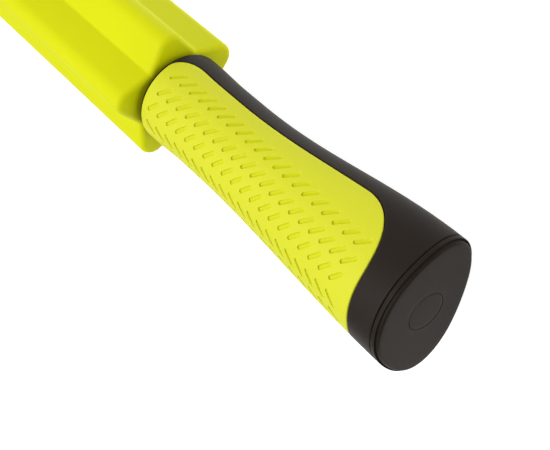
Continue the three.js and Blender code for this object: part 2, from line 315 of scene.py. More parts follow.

# %% [markdown]
# ## Moulded and metal finishes
#
# All the finishes are a Principled shader under the same three effects, so one function lays them out
# and each material sets its colours, gloss and grain. Colours are linear light, not screen values.
# Numbers that are the same all over a surface go straight on the shader's sockets. Lime rubber takes one
# more colour, painted shade for the bottoms of its slots, where the light has bounced from lime to lime.

# %% One function for every moulded finish
def finish(name, colour, drifted, rubbed, roughness, **more):
    """colour drifts towards drifted, turns into rubbed on the edges, and into sunk, a painted shade, in the
    slots.
    """
    material = bpy.data.materials.new(name)
    material.use_nodes = True
    tree = material.node_tree
    shader = tree.nodes["Principled BSDF"]
    grain = add_node(tree, "ShaderNodeGroup", {"node_tree": grain_group})
    grain.inputs["Grain Size"].default_value = more["grain_size"]
    grain.inputs["Drift Size"].default_value = more.get("drift_size", 18.0)
    grain.inputs["Stretch"].default_value = more.get("stretch", 1.0)
    edges = add_node(tree, "ShaderNodeGroup", {"node_tree": edge_group})
    edges.inputs["Amount"].default_value = more.get("wear", 0.4)
    tone = mixed_colour(tree, grain.outputs["Drift"], colour, drifted)
    tone = mixed_colour(tree, edges.outputs["Mask"], tone, rubbed)
    # Painted shade: a darker lime is mixed in by how far a point lies below the skin, for the shade in the
    # slots.
    if "sunk" in more:
        below = add_node(tree, "ShaderNodeAttribute", {"attribute_name": "sunk"})
        tone = mixed_colour(tree, below.outputs["Fac"], tone, more["sunk"])
    tree.links.new(tone, shader.inputs["Base Color"])
    gloss = add_node(tree, "ShaderNodeMapRange", Value=grain.outputs["Grain"])
    gloss.inputs["To Min"].default_value = roughness[0]
    gloss.inputs["To Max"].default_value = roughness[1]
    tree.links.new(gloss.outputs["Result"], shader.inputs["Roughness"])
    bump = add_node(tree, "ShaderNodeBump", Height=grain.outputs["Height"])
    bump.inputs["Strength"].default_value = more["bump"]
    bump.inputs["Distance"].default_value = more.get("bump_height", 0.00012)
    tree.links.new(bump.outputs["Normal"], shader.inputs["Normal"])
    for socket, value in more.get("sockets", {}).items():
        shader.inputs[socket].default_value = value
    print("finish:", name)
    return material


# %% The finishes of this bar
lime_foam = finish(
    "lime_foam", (0.74, 0.765, 0.0), (0.68, 0.71, 0.0), (0.79, 0.81, 0.02), (0.48, 0.62),
    grain_size=1100.0, bump=0.16, wear=0.4, sockets={"Specular IOR Level": 0.12},
)
# The last colour is painted shade for the bottoms of the slots.
lime_rubber = finish(
    "lime_rubber", (0.73, 0.745, 0.030), (0.69, 0.71, 0.022), (0.78, 0.79, 0.06), (0.52, 0.66),
    grain_size=1500.0, bump=0.2, wear=0.3, sockets={"Specular IOR Level": 0.2}, sunk=(0.66, 0.685, 0.0),
)
black_plastic = finish(
    "black_plastic", (0.017, 0.0118, 0.0085), (0.023, 0.016, 0.0118), (0.05, 0.042, 0.036), (0.46, 0.60),
    grain_size=1400.0, bump=0.22, wear=0.3, sockets={"Specular IOR Level": 0.13},
)
cap_plastic = finish(
    "cap_plastic", (0.0148, 0.0096, 0.0052), (0.0208, 0.0138, 0.0084), (0.05, 0.042, 0.036), (0.44, 0.56),
    grain_size=1400.0, bump=0.2, wear=0.3, sockets={"Specular IOR Level": 0.1},
)
grey_plastic = finish(
    "grey_plastic", (0.085, 0.085, 0.095), (0.105, 0.105, 0.115), (0.18, 0.18, 0.19), (0.45, 0.62),
    grain_size=1600.0, stretch=0.05, bump=0.3, wear=0.3,
)
white_nylon = finish(
    "white_nylon", (0.70, 0.68, 0.62), (0.64, 0.62, 0.55), (0.80, 0.79, 0.75), (0.35, 0.48),
    grain_size=700.0, bump=0.1, wear=0.3, sockets={"Coat Weight": 0.15, "Coat Roughness": 0.3},
)
steel = finish(
    "steel", (0.52, 0.53, 0.54), (0.60, 0.60, 0.60), (0.75, 0.75, 0.74), (0.22, 0.40),
    grain_size=2600.0, stretch=0.03, bump=0.35, bump_height=0.00004, wear=0.5, sockets={"Metallic": 1.0},
)

# %% [markdown]
# ## The roller
#
# The roller is a foam sleeve over a plastic tube. Its section is a star with five rounded lobes and
# straight flanks, and its valleys are small fillets, since foam can't fill a sharp corner.
# The section could be drawn as a curve and extruded, but a formula lets the ends be rounded exactly:
# sinking the outline shrinks the arc of each lobe and widens the arc of each valley by the same amount.

# %% The star section
lobe_count = 5
lobe_tip_radius = 5.5
valley_radius = 17.2
valley_fillet = 1.5
roller_edge_radius = 2.0
lobe_turn = FULL_TURN / lobe_count


def unit(angle):
    """Points on a circle of radius 1."""
    return np.stack([np.cos(angle), np.sin(angle)], axis=-1)


def turn_matrix(angle):
    """Turns rows of plane points anticlockwise."""
    c, s = math.cos(angle), math.sin(angle)
    return np.array([[c, s], [-s, c]])


def between(first, last, steps):
    """The points that split a straight line, without its ends."""
    share = np.arange(1, steps)[:, None] / steps
    return first + (last - first) * share


def star_outline(inset, tip_steps=16, flank_steps=5, valley_steps=6):
    """The section, sunk by inset: rounded lobes, flanks and filleted valleys, in the Y and Z plane."""
    towards_valley = unit(lobe_turn / 2)
    tip_centre = np.array([crest_radius - lobe_tip_radius, 0.0])
    valley = valley_radius * towards_valley
    to_valley = valley - tip_centre
    reach = np.linalg.norm(to_valley)
    spread = math.atan2(to_valley[1], to_valley[0]) - math.acos(lobe_tip_radius / reach)
    tip = tip_centre + (lobe_tip_radius - inset) * unit(np.linspace(-spread, spread, tip_steps + 1))
    flank = valley - (tip_centre + lobe_tip_radius * unit(spread))
    half_opening = math.acos(abs(np.dot(flank / np.linalg.norm(flank), towards_valley)))
    centre = valley + towards_valley * valley_fillet / math.sin(half_opening)
    facing = np.linspace(spread, lobe_turn - spread, valley_steps + 1)
    hollow = centre - (valley_fillet + inset) * unit(facing)
    next_tip = (tip_centre + (lobe_tip_radius - inset) * unit(-spread)) @ turn_matrix(lobe_turn)
    falling = between(tip[-1], hollow[0], flank_steps)
    rising = between(hollow[-1], next_tip, flank_steps)
    lobe = np.vstack([tip, falling, hollow, rising])
    turns = [math.pi / 2 + k * lobe_turn for k in range(lobe_count)]
    return np.vstack([lobe @ turn_matrix(turn) for turn in turns])


print("star section:", len(star_outline(0.0)), "points")


# %% Rounded corners, as (how far in, how far down) pairs
def quarter_round(radius, steps=6):
    """From a wall to a face: at 0 it is radius below the face, at the last step radius inside the wall."""
    angles = np.linspace(0, math.pi / 2, steps + 1)
    return [(radius * (1 - math.cos(a)), radius * (1 - math.sin(a))) for a in angles]


def on_axis(outline, x):
    """Places an outline in the Y and Z plane at x, round the roller's axis."""
    outline = np.asarray(outline)
    return np.column_stack([np.full(len(outline), x), outline[:, 0], outline[:, 1] + axis_height])


# %% The foam sleeve, hollow for its tube
def foam_sleeve():
    bore = measured("core_tube")[1].y + seat
    bore_edge = 0.5
    face_steps = 4
    body_sections = 21
    corner = quarter_round(roller_edge_radius, 8)
    directions = star_outline(roller_edge_radius)
    polar = np.arctan2(directions[:, 1], directions[:, 0])
    end_loops = [star_outline(inset) for inset, _ in corner]
    loops = [on_axis(loop, roller_half - drop) for loop, (_, drop) in zip(end_loops, corner)]
    to_bore = (bore + bore_edge) * unit(polar) - directions
    face = [directions + to_bore * k / face_steps for k in range(1, face_steps + 1)]
    loops += [on_axis(loop, roller_half) for loop in face]
    loops += [on_axis(bore * unit(polar), roller_half - bore_edge)]
    mirrored = [loop * np.array([-1, 1, 1]) for loop in reversed(loops)]
    middle = np.linspace(-1, 1, body_sections + 2)[1:-1] * (roller_half - roller_edge_radius)
    body = [on_axis(star_outline(0.0), x) for x in middle]
    return join_loops(mirrored + body + loops, ring=True)


sleeve_mesh = mesh_from("foam_sleeve", *foam_sleeve())
stand_for("foam_sleeve", sleeve_mesh, lime_foam)

# %% [markdown]
# ## Turned pieces
#
# The tube, shaft, bushes, washers and inserts are all round. On a bench they come off a lathe, so here
# they come from one profile each: a list of (place along the bar, radius) corners. Each corner is
# broken by a small round, because a true sharp edge never catches the light. Each bush's flange ends
# flush with the roller, so that the grip can come close to it.

# %% Lathe a profile round the bar's axis
ROUND_STEPS = 96


def circle(x, radius, steps=ROUND_STEPS):
    return on_axis(radius * unit(np.arange(steps) * FULL_TURN / steps), x)


def softened(corners, radius, closes, steps=3):
    """Swaps each corner of a profile for a short arc; a closed profile has no first or last."""
    points = [np.array(corner, float) for corner in corners]
    count = len(points)
    made = []
    for i, corner in enumerate(points):
        if not closes and i in (0, count - 1):
            made.append(corner)
            continue
        before = points[i - 1] - corner
        after = points[(i + 1) % count] - corner
        reach = min(radius, np.linalg.norm(before) / 3, np.linalg.norm(after) / 3)
        start = corner + before / np.linalg.norm(before) * reach
        stop = corner + after / np.linalg.norm(after) * reach
        for t in np.linspace(0, 1, steps + 1):
            made.append((1 - t) ** 2 * start + 2 * t * (1 - t) * corner + t**2 * stop)
    return made


def turned(corners, edge=0.25, closes=True):
    """A ring when the profile closes on itself, or a solid that starts and ends on the axis."""
    profile = softened(corners, edge, closes)
    return join_loops([circle(x, radius) for x, radius in profile], ring=closes)


def ring_between(x_from, x_to, inner, outer, edge=0.25):
    return turned([(x_from, inner), (x_from, outer), (x_to, outer), (x_to, inner)], edge)


# %% The tube, the shaft and the rings
shaft_low, shaft_high = measured("shaft")
tube_low, tube_high = measured("core_tube")
bush_low, bush_high = measured("bushing_right")
washer_low, washer_high = measured("thrust_washer_right")
shaft_radius = shaft_high.y
tube_radius = tube_high.y
shaft_wall = 1.5
tube_wall = 2.0
shaft_bore = shaft_radius - shaft_wall
tube_bore = tube_radius - tube_wall

tube_mesh = mesh_from("core_tube", *ring_between(tube_low.x, tube_high.x, tube_bore, tube_radius))
stand_for("core_tube", tube_mesh, grey_plastic)
shaft_mesh = mesh_from("shaft", *ring_between(shaft_low.x, shaft_high.x, shaft_bore, shaft_radius))
stand_for("shaft", shaft_mesh, steel)


# %% The flanged bushes and the thrust washers
bush_flange = 1.5
washer_edge = 0.35
running_bore = shaft_radius + seat


def bushing():
    flange_start = bush_high.x - bush_flange
    barrel = tube_bore - seat
    corners = [(bush_low.x, running_bore), (bush_low.x, barrel), (flange_start, barrel)]
    corners += [(flange_start, bush_high.y), (bush_high.x, bush_high.y), (bush_high.x, running_bore)]
    return turned(corners)


bush_mesh = mesh_from("bushing", *bushing())
thrust_ring = ring_between(washer_low.x, washer_high.x, running_bore, washer_high.y, washer_edge)
thrust_mesh = mesh_from("thrust_washer", *thrust_ring)
for side in ("right", "left"):
    stand_for("bushing_" + side, bush_mesh, white_nylon, side == "left")
    stand_for("thrust_washer_" + side, thrust_mesh, white_nylon, side == "left")

# %% [markdown]
# ## The end screw and what it pulls on
#
# A hexagon socket screw clamps each cap to the shaft through a washer and a threaded insert. They are
# hidden under the plug, but a library part can be taken apart, so the screw has its real thread.
# A thread is a grid of points whose radius rises and falls along a helix. That costs fewer faces than
# a swept curve and stays one closed solid.

# %% The threaded screw
screw_low, screw_high = measured("end_screw_right")
thread_radius = 3.0
SCREW_STEPS = 48
screw_angles = np.arange(SCREW_STEPS) * FULL_TURN / SCREW_STEPS


def screw_loop(x, radii):
    return on_axis(unit(screw_angles) * np.broadcast_to(radii, SCREW_STEPS)[:, None], x)


def hexagon(apothem):
    """Radii of a hexagon's outline at each step round it."""
    sixth = FULL_TURN / 6
    return apothem / np.cos((screw_angles % sixth) - sixth / 2)


def end_screw():
    head_radius = screw_high.y
    head_height = 3.2
    thread_depth = 0.55
    pitch = 1.0
    steps_per_turn = 8
    socket_apothem = 2.5
    socket_depth = 2.0
    socket_point = 0.6
    chamfer = 0.5
    small_chamfer = 0.2
    bearing = screw_high.x - head_height
    root = thread_radius - thread_depth
    loops = [screw_loop(screw_low.x, 0.0), screw_loop(screw_low.x, root - chamfer / 2)]
    start = screw_low.x + chamfer
    plain = bearing - 2 * pitch
    for x in np.linspace(start, plain, int((plain - start) / pitch * steps_per_turn)):
        phase = (x / pitch - screw_angles / FULL_TURN) % 1.0
        groove = np.abs(2 * phase - 1)
        fade = max(min((x - start) / pitch, (plain - x) / pitch, 1.0), 0.0)
        crest = thread_radius - thread_depth * (1 - fade)
        loops.append(screw_loop(x, crest - thread_depth * fade * groove))
    loops += [screw_loop(bearing - 2 * small_chamfer, root), screw_loop(bearing, thread_radius)]
    loops += [screw_loop(bearing, head_radius - small_chamfer)]
    loops += [screw_loop(bearing + small_chamfer, head_radius)]
    top = screw_high.x
    loops += [screw_loop(top - chamfer, head_radius), screw_loop(top, head_radius - chamfer)]
    rim = hexagon(socket_apothem)
    socket_floor = top - socket_depth
    loops += [screw_loop(top, rim + small_chamfer), screw_loop(top - small_chamfer, rim)]
    loops += [screw_loop(socket_floor, rim), screw_loop(socket_floor - socket_point, 0.0)]
    return join_loops(loops)


screw_mesh = mesh_from("end_screw", *end_screw())

# %% The screw's washer and its insert
screw_bore = thread_radius + seat
plate_low, plate_high = measured("screw_washer_right")
insert_low, insert_high = measured("shaft_insert_right")
plate_edge = 0.2
insert_edge = 0.4
plate_ring = ring_between(plate_low.x, plate_high.x, screw_bore, plate_high.y, plate_edge)
plate_mesh = mesh_from("screw_washer", *plate_ring)
insert_ring = ring_between(insert_low.x, insert_high.x, screw_bore, shaft_bore - seat, insert_edge)
insert_mesh = mesh_from("shaft_insert", *insert_ring)
for side in ("right", "left"):
    stand_for("end_screw_" + side, screw_mesh, steel, side == "left")
    stand_for("screw_washer_" + side, plate_mesh, steel, side == "left")
    stand_for("shaft_insert_" + side, insert_mesh, steel, side == "left")

# %% [markdown]
# ## The shape of a grip
#
# The grip flares from a round waist to an oval cap, with a slight rounded-triangle bulge so that the
# fingers find a flat underside, and swells again to a shoulder beside the roller. One formula gives
# any point of that skin from its depth behind the cap's face and its angle round the section. The
# black core, the lime panel, the cap and even the slots are all cut from it, so they fit each other.

# %% The grip's skin as a formula
cap_half_height = 18.1
cap_half_width = 24.9
cap_rounded_triangle = 0.06
waist_radius = 16.4
waist_place = grip_length - 32.5
shoulder_radius = 17.0
shoulder_place = grip_length - 4.5
shoulder_flare = 17.0
shoulder_edge = 2.0
TOP = math.pi / 2


def smooth(t):
    return (1 - np.cos(math.pi * np.clip(t, 0, 1))) / 2


def grip_half_sizes(depth):
    to_waist = smooth(1 - depth / waist_place)
    rise = smooth((depth - shoulder_place + shoulder_flare) / shoulder_flare)
    flare = (shoulder_radius - waist_radius) * rise
    height = waist_radius + (cap_half_height - waist_radius) * to_waist + flare
    width = waist_radius + (cap_half_width - waist_radius) * to_waist + flare
    return height, width


def rounded_off(depth):
    """How far the shoulder's rounded edge has drawn the skin in."""
    past = np.clip(depth - (grip_length - shoulder_edge), 0, shoulder_edge)
    return shoulder_edge - np.sqrt(shoulder_edge**2 - past**2)


def grip_skin(depth, angle, inset=0.0):
    """Points of the right grip. The angle runs round the section, with TOP straight up."""
    depth, angle, inset = np.broadcast_arrays(depth, angle, inset)
    height, width = grip_half_sizes(depth)
    drawn_in = inset + rounded_off(depth)
    bulge = 1 - cap_rounded_triangle * smooth(1 - depth / waist_place) * np.sin(3 * angle)
    across = (width - drawn_in) * bulge * np.cos(angle)
    up = (height - drawn_in) * bulge * np.sin(angle)
    return np.stack([half_length - depth, across, axis_height + up], axis=-1)


waist_points = grip_skin(waist_place, np.array([0.0, math.pi]))
print(f"waist {abs(waist_points[0][1] - waist_points[1][1]):.1f} mm across")

# %% [markdown]
# ## The outline of the lime panel
#
# The panel lies in a pocket over the top half of the grip. Its outline is straight along the sides and
# across both ends, with a long corner towards the cap and a short one towards the roller; each corner
# is a quarter of an ellipse. The outline is kept in the grip's own coordinates, depth and angle, so
# that it wraps the skin by itself. The same closed row of points then serves the panel and its pocket.

# %% Half of the outline, then the whole
panel_half_angle = math.radians(86)
cap_corner_length = 20.0
cap_corner_angle = math.radians(68)
roller_corner_length = 11.0
roller_corner_angle = math.radians(28)
END_STEPS = 16
CAP_CORNER_STEPS = 64
SIDE_STEPS = 72
ROLLER_END_STEPS = 32
ROLLER_CORNER_STEPS = 32
COLUMNS = 2 * (END_STEPS + CAP_CORNER_STEPS // 2)
ROWS = CAP_CORNER_STEPS // 2 + SIDE_STEPS + ROLLER_CORNER_STEPS // 2


def half_outline():
    """(depth, angle from the top) from the middle of the cap end to the middle of the roller end."""
    cap_width = panel_half_angle - cap_corner_angle
    roller_width = panel_half_angle - roller_corner_angle
    points = [(panel_start, cap_width * i / END_STEPS) for i in range(END_STEPS)]
    for i in range(CAP_CORNER_STEPS):
        turn = (math.pi / 2) * i / CAP_CORNER_STEPS
        depth = panel_start + cap_corner_length * (1 - math.cos(turn))
        points.append((depth, cap_width + cap_corner_angle * math.sin(turn)))
    side_start = panel_start + cap_corner_length
    side_end = panel_end - roller_corner_length
    for i in range(SIDE_STEPS):
        points.append((side_start + (side_end - side_start) * i / SIDE_STEPS, panel_half_angle))
    for i in range(ROLLER_CORNER_STEPS):
        turn = (math.pi / 2) * i / ROLLER_CORNER_STEPS
        depth = side_end + roller_corner_length * math.sin(turn)
        points.append((depth, roller_width + roller_corner_angle * math.cos(turn)))
    for i in range(ROLLER_END_STEPS + 1):
        points.append((panel_end, roller_width * (1 - i / ROLLER_END_STEPS)))
    return np.array(points)


def whole_outline():
    """The closed outline, starting halfway round a cap corner and running across the cap end first."""
    half = half_outline()
    mirrored = half[1:-1][::-1] * np.array([1, -1])
    closed_row = np.vstack([half, mirrored])
    return np.roll(closed_row, COLUMNS // 2, axis=0)


outline = whole_outline()
print("panel outline:", len(outline), "points, grid", COLUMNS, "by", ROWS)


# %% Offset the outline along the skin
def mm_per_angle(depth, angle):
    """Length of skin per radian at a place."""
    height, width = grip_half_sizes(depth)
    return np.hypot(width * np.cos(angle), height * np.sin(angle))


def offset_outline(distance):
    """The outline moved outwards along the skin by a distance; inwards when it is negative."""
    scale = mm_per_angle(outline[:, 0], outline[:, 1])
    step = np.roll(outline, -1, axis=0) - np.roll(outline, 1, axis=0)
    along = np.column_stack([step[:, 0], step[:, 1] * scale])
    along /= np.linalg.norm(along, axis=1)[:, None]
    outwards = np.column_stack([-along[:, 1], along[:, 0]])
    middle = np.array([(panel_start + panel_end) / 2, 0.0])
    inner = ((middle - outline) * outwards)[:, 0].sum() > 0
    outwards = -outwards if inner else outwards
    return outline + distance * np.column_stack([outwards[:, 0], outwards[:, 1] / scale])


def skin_loop(row, inset=0.0):
    return grip_skin(row[:, 0], TOP + row[:, 1], inset)


# %% Fill the inside of a loop with an even grid
def inside_grid(row):
    """A grid whose border is the closed row: each point is blended from the four sides."""
    top_side = row[: COLUMNS + 1]
    right_side = row[COLUMNS : COLUMNS + ROWS + 1]
    bottom_side = row[COLUMNS + ROWS : 2 * COLUMNS + ROWS + 1][::-1]
    left_side = np.vstack([row[2 * COLUMNS + ROWS :], row[:1]])[::-1]
    u = np.linspace(0, 1, COLUMNS + 1)[None, :, None]
    v = np.linspace(0, 1, ROWS + 1)[:, None, None]
    blend = (1 - v) * top_side[None] + v * bottom_side[None]
    blend = blend + (1 - u) * left_side[:, None] + u * right_side[:, None]
    corners = (1 - u) * (1 - v) * top_side[0] + u * (1 - v) * top_side[-1]
    corners = corners + (1 - u) * v * bottom_side[0] + u * v * bottom_side[-1]
    return (blend - corners).reshape(-1, 2)


def grid_faces():
    faces = []
    width = COLUMNS + 1
    for row in range(ROWS):
        for column in range(COLUMNS):
            k = row * width + column
            faces.append((k, k + 1, k + 1 + width, k + width))
    return faces


def sheet_inside(row, inset):
    grid = inside_grid(row)
    return grip_skin(grid[:, 0], TOP + grid[:, 1], inset), grid_faces()


# %% [markdown]
# ## The black core of a grip
#
# The core is one moulding: the skin outside the panel, the pocket that the panel sits in, the flat
# shoulder face with the shaft's bore and a shallow pocket for the thrust washer, and the hollow under
# the cap. The skin is spread from the panel's pocket to the two ends and round to a seam along the
# underside, so that no quad is cut and the pocket's rim stays clean. The rim and the front edge have
# small rounds, as the real tool leaves.

# %% The skin between the pocket and the ends
rim_round = 0.25
front_round = 0.45
SKIN_RINGS = 28
RING_CROWDING = 1.25  # above 1, the rings lie closer together beside the pocket
shoulder_arc = shoulder_edge * math.pi / 2
skin_length = grip_length - shoulder_edge + shoulder_arc


def unrolled(depth):
    """Distance along the skin, which keeps growing round the shoulder's rounded edge."""
    past = np.clip((depth - (grip_length - shoulder_edge)) / shoulder_edge, 0, 1)
    return np.where(past > 0, grip_length - shoulder_edge + shoulder_edge * np.arcsin(past), depth)


def rolled_up(distance):
    """The depth at a distance along the skin."""
    past = np.clip((distance - (grip_length - shoulder_edge)) / shoulder_edge, 0, math.pi / 2)
    return np.where(past > 0, grip_length - shoulder_edge + shoulder_edge * np.sin(past), distance)


def far_border():
    """Where each point of the outline lands on the border of the opened-out skin."""
    first = core_start + front_round
    across = np.linspace(math.pi, -math.pi, COLUMNS + 1)
    along = np.linspace(first, skin_length, ROWS + 1)
    sign = 1.0 if outline[0, 1] > 0 else -1.0
    top_side = np.column_stack([np.full(COLUMNS, first), sign * across[:-1]])
    right_side = np.column_stack([along[:-1], np.full(ROWS, -sign * math.pi)])
    bottom_side = np.column_stack([np.full(COLUMNS, skin_length), -sign * across[:-1]])
    left_side = np.column_stack([along[::-1][:-1], np.full(ROWS, sign * math.pi)])
    return np.vstack([top_side, right_side, bottom_side, left_side])


def core_skin():
    rim = offset_outline(seat + rim_round)
    start = np.column_stack([unrolled(rim[:, 0]), rim[:, 1]])
    end = far_border()
    loops = []
    for share in (np.arange(SKIN_RINGS + 1) / SKIN_RINGS) ** RING_CROWDING:
        row = start + (end - start) * share
        loops.append(grip_skin(rolled_up(row[:, 0]), TOP + row[:, 1]))
    return loops


# %% The pocket, the ends and the hollow
mouth_wall = 2.9
mouth_depth = 11.0
cavity_wall = 4.6
cavity_depth = 72.0
sleeve_radius = 10.5
panel_thickness = 1.8
pocket_depth = panel_thickness + seat
washer_pocket = half_length - washer_high.x - seat
washer_pocket_radius = washer_high.y + seat
washer_pocket_edge = 0.2


def section_angles(steps=COLUMNS):
    return TOP + math.pi - np.arange(steps) * FULL_TURN / steps


def section_loop(depth, inset=0.0, steps=COLUMNS):
    return grip_skin(depth, section_angles(steps), inset)


def round_loop(depth, radius, steps=COLUMNS):
    return on_axis(radius * unit(section_angles(steps)), half_length - depth)


def handle_core():
    corner = quarter_round(rim_round, 4)
    pocket = [skin_loop(offset_outline(seat), pocket_depth)]
    pocket += [skin_loop(offset_outline(seat + out), down) for out, down in corner]
    skin = join_loops(pocket + core_skin()[1:])
    floor = sheet_inside(offset_outline(seat), pocket_depth)
    front = [section_loop(core_start + down, out) for out, down in quarter_round(front_round, 4)]
    shaft_end = half_length - shaft_high.x
    inner = [section_loop(core_start, mouth_wall), section_loop(core_start + mouth_depth, mouth_wall)]
    inner += [section_loop(core_start + mouth_depth, cavity_wall), section_loop(cavity_depth, cavity_wall)]
    inner += [round_loop(cavity_depth, sleeve_radius), round_loop(shaft_end, sleeve_radius)]
    inner += [round_loop(shaft_end, running_bore), round_loop(washer_pocket, running_bore)]
    inner += [round_loop(washer_pocket, washer_pocket_radius)]
    inner += [round_loop(grip_length - washer_pocket_edge, washer_pocket_radius)]
    inner += [round_loop(grip_length, washer_pocket_radius + washer_pocket_edge)]
    inner += [round_loop(grip_length, shoulder_radius - shoulder_edge)]
    return combined(skin, floor, join_loops(front + inner))


core_mesh = mesh_from("handle_core", *handle_core())
for side in ("right", "left"):
    stand_for("handle_core_" + side, core_mesh, black_plastic, side == "left")

# %% [markdown]
# ## The lime grip panel and its dashes
#
# The panel is a thin rubber moulding with six rows of short slanted slots, three each side of the
# middle, that mirror each other like a chevron tread. They could be a bump pattern, but a bump has no
# shadow and no outline, so each slot is really cut: a small cutter is shaped for each one in the same
# depth and angle coordinates, and one boolean takes them all out. A slot is a little deeper at the end
# that is nearest the middle, and its rim is rounded because rubber leaves the tool that way. The panel
# then gets an attribute that says how far each point lies below the skin, so its finish can paint shade
# into the slots.

# %% The panel before it is cut
panel_edge_round = 0.45


def plain_panel():
    corner = quarter_round(panel_edge_round, 5)
    loops = [skin_loop(offset_outline(0.0), panel_thickness)]
    loops += [skin_loop(offset_outline(-inwards), down) for inwards, down in corner]
    top = sheet_inside(offset_outline(-panel_edge_round), 0.0)
    underside = sheet_inside(offset_outline(0.0), panel_thickness)
    return combined(join_loops(loops), top, underside)


panel_plain_mesh = mesh_from("grip_panel", *plain_panel())
print("plain panel:", len(panel_plain_mesh.polygons), "faces")

# %% Where the slots lie
dash_count = 20
first_dash = grip_length - 6.4
dash_pitch = 5.2
dash_half_width = 0.66
pattern_middle = -1.2
dash_rows = [
    {"arc": 2.0, "across": 4.5, "along": 4.3, "shift": 1.3},
    {"arc": 8.7, "across": 4.5, "along": 4.7, "shift": 0.0},
    {"arc": 15.8, "across": 4.5, "along": 4.8, "shift": 0.0},
]
deep_end = 0.5
shallow_end = 0.42


def angle_at(depth, arc):
    """The angle from the top at which the skin has run this far round the section."""
    angles = np.linspace(0, panel_half_angle, 120)
    step = angles[1] - angles[0]
    run = np.concatenate([[0], np.cumsum(mm_per_angle(depth, angles)[:-1] * step)])
    return np.interp(arc, run, angles)


# %% One cutter: a rounded slot that follows the skin
DASH_ARC_STEPS = 8
rim_fillet = 0.16
FILLET_TURNS = np.radians([28, 50, 70, 90])
above_skin = 0.6
floor_edge = 0.2
floor_edge_rise = 0.12


def slot_outline(start, stop, half_width):
    """A long loop with round ends about two points, and how far along the slot each point lies."""
    along = (stop - start) / np.linalg.norm(stop - start)
    across = np.array([-along[1], along[0]])
    points, shares = [], []
    for centre, facing, share in ((stop, 1, 1.0), (start, -1, 0.0)):
        for i in range(DASH_ARC_STEPS + 1):
            turn = math.pi * i / DASH_ARC_STEPS - math.pi / 2
            points.append(centre + half_width * facing * (along * math.cos(turn) + across * math.sin(turn)))
            shares.append(share)
    return np.array(points), np.array(shares)


def slot_cutter(start, stop, mirror):
    """Loops from above the skin, round the rim and down to a sloping floor."""
    steps = [(rim_fillet, -above_skin)]
    for turn in FILLET_TURNS:
        steps.append((rim_fillet * (1 - math.sin(turn)), rim_fillet * (1 - math.cos(turn))))
    steps += [(0.0, None), (-floor_edge, None), (-dash_half_width, None)]
    loops = []
    for grow, down in steps:
        points, share = slot_outline(start, stop, max(dash_half_width + grow, 0.0))
        floor = deep_end + (shallow_end - deep_end) * share
        rise = floor_edge_rise if grow == 0.0 else 0.0
        inset = floor - rise if down is None else np.full(len(points), down)
        arcs = mirror * points[:, 1] + pattern_middle
        angles = [angle_at(depth, abs(arc)) * np.sign(arc) for depth, arc in zip(points[:, 0], arcs)]
        loops.append(grip_skin(points[:, 0], TOP - np.array(angles), inset))
    lid = loops[0].mean(axis=0)
    return join_loops([np.repeat(lid[None], len(loops[0]), axis=0)] + loops)


# %% Cut every slot with one boolean
def all_cutters():
    cutters = []
    for row in dash_rows:
        for k in range(dash_count):
            depth = first_dash + row["shift"] - k * dash_pitch
            inner_tip = np.array([depth, row["arc"]])
            outer_tip = np.array([depth - row["along"], row["arc"] + row["across"]])
            along = (outer_tip - inner_tip) / np.linalg.norm(outer_tip - inner_tip)
            start = inner_tip + along * dash_half_width
            stop = outer_tip - along * dash_half_width
            cutters += [slot_cutter(start, stop, mirror) for mirror in (-1, 1)]
    return cutters


def cut_panel(mesh, cutters):
    plain = bpy.data.objects.new("panel_blank", mesh)
    knife_mesh = mesh_from("slot_cutters", *combined(*cutters))
    knife = bpy.data.objects.new("slot_cutters", knife_mesh)
    for item in (plain, knife):
        bpy.context.scene.collection.objects.link(item)
    cut = plain.modifiers.new("slots", "BOOLEAN")
    cut.operation = "DIFFERENCE"
    cut.solver = "MANIFOLD"
    cut.object = knife
    bpy.context.view_layer.update()
    graph = bpy.context.evaluated_depsgraph_get()
    result = bpy.data.meshes.new_from_object(plain.evaluated_get(graph), depsgraph=graph)
    bpy.data.objects.remove(plain)
    bpy.data.objects.remove(knife)
    clean_mesh(result)
    return result


# %% Say how far each point lies below the skin, as the mask of painted slot shade, and place both panels
def write_sunk(mesh):
    """Depth below the grip's skin as a painted-shade mask: 0 at the skin, 1 at full_depth and deeper."""
    full_depth = 0.5
    places = np.empty(len(mesh.vertices) * 3, np.float32)
    mesh.vertices.foreach_get("co", places)
    places = places.reshape(-1, 3) / MM
    up = places[:, 2] - axis_height
    depth = np.clip(half_length - places[:, 0], 0, grip_length)
    height, width = grip_half_sizes(depth)
    skin = grip_skin(depth, np.arctan2(up / height, places[:, 1] / width))
    below = np.hypot(skin[:, 1], skin[:, 2] - axis_height) - np.hypot(places[:, 1], up)
    attribute = mesh.attributes.new("sunk", "FLOAT", "POINT")
    attribute.data.foreach_set("value", np.clip(below / full_depth, 0, 1).astype(np.float32))


cutters = all_cutters()
panel_mesh = cut_panel(panel_plain_mesh, cutters)
print("slots:", len(cutters), "cut, faces", len(panel_plain_mesh.polygons), "to", len(panel_mesh.polygons))
write_sunk(panel_mesh)
for side in ("right", "left"):
    stand_for("grip_panel_" + side, panel_mesh, lime_rubber, side == "left")

# %% [markdown]
# ## The cap and its plug
#
# The cap is a plate with a skirt that plugs into the core's mouth and a boss that takes the screw. Only
# the plate shows, so its rim, the fine groove that runs round the rim and the thin dark seam beside the
# core are what the eye reads. The groove is cut into the profile, a row of (inset, depth) steps from the
# side inwards, since a bump would stop at the outline. A small round plug covers the screw.

